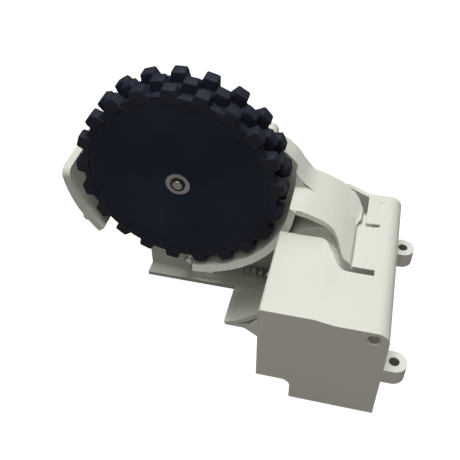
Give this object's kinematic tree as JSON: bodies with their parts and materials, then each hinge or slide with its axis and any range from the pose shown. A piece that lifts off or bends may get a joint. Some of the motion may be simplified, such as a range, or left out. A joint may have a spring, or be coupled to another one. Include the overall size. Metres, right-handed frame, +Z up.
{
  "type": "robot vacuum wheel module",
  "caption": "Drive wheel module of a robot vacuum: a motor and gear train in a sprung swinging arm turn a lugged rubber wheel; a fixed housing with screw ears holds the arm's hinge.",
  "frame": {"origin": "midway between the centres of the two ear holes, on the ears' top faces", "axes": "+X from the wheel towards the ears, +Y from the box's near wall to the far wall, +Z up out of the robot's underside, as the module is pictured"},
  "size_m": [0.12, 0.061, 0.1016],
  "materials": {
    "housing_plastic": "fine moulded grain",
    "grey_plastic": "satin",
    "black_plastic": "matt",
    "red_plastic": "satin",
    "wheel_plastic": "satin",
    "gear_plastic": "satin acetal",
    "tyre_rubber": "matt rubber",
    "steel": "satin",
    "dark_steel": "black oxide",
    "spring_steel": "drawn wire",
    "brass": "bare",
    "bronze": "sintered",
    "board_green": "solder mask",
    "magnet": "bonded ferrite"
  },
  "bodies": {
    "housing": {"base_housing": "housing_plastic", "hinge_pin": "steel", "drop_switch": "black_plastic", "switch_plunger": "red_plastic", "extension_spring": "spring_steel"},
    "arm": {"arm_casing": "housing_plastic", "gearbox_cover": "housing_plastic", "cover_screws": "steel", "motor_sleeve": "grey_plastic", "motor_can": "steel", "motor_end_cap": "black_plastic", "motor_terminals": "brass", "encoder_board": "board_green", "near_bush": "bronze", "far_bush": "bronze", "first_gear_pin": "steel", "second_gear_pin": "steel"},
    "rotor": {"motor_shaft": "steel", "motor_pinion": "brass", "encoder_magnet": "magnet"},
    "first_wheel_gear": {"first_gear": "gear_plastic"},
    "second_wheel_gear": {"second_gear": "gear_plastic"},
    "wheel": {"output_gear": "gear_plastic", "wheel_axle": "steel", "wheel_disc": "wheel_plastic", "tyre": "tyre_rubber", "hub_washer": "steel", "retaining_ring": "dark_steel"}
  },
  "joints": [
    {"name": "arm_swing", "type": "hinge", "parent": "housing", "child": "arm", "pos_m": [-0.0076, 0, 0.013], "axis": [0, -1, 0], "range_deg": [0, 23.5], "stiffness_Nm_per_rad": 0.14, "springref_deg": -24.69, "deforming": ["extension_spring"]},
    {"name": "wheel_spin", "type": "hinge", "parent": "arm", "child": "wheel", "pos_m": [-0.07572, 0, 0.0291], "axis": [0, 1, 0], "continuous": true},
    {"name": "second_gear_spin", "type": "hinge", "parent": "arm", "child": "second_wheel_gear", "pos_m": [-0.05454, 0, 0.02152], "axis": [0, 1, 0], "continuous": true},
    {"name": "first_gear_spin", "type": "hinge", "parent": "arm", "child": "first_wheel_gear", "pos_m": [-0.04088, 0, 0.00698], "axis": [0, 1, 0], "continuous": true},
    {"name": "motor_spin", "type": "hinge", "parent": "arm", "child": "rotor", "pos_m": [-0.0241, 0, 0.002], "axis": [0, 1, 0], "continuous": true}
  ],
  "couplings": [
    {"joint": "second_gear_spin", "follows": "wheel_spin", "ratio": -4},
    {"joint": "first_gear_spin", "follows": "wheel_spin", "ratio": 15},
    {"joint": "motor_spin", "follows": "wheel_spin", "ratio": -60}
  ]
}
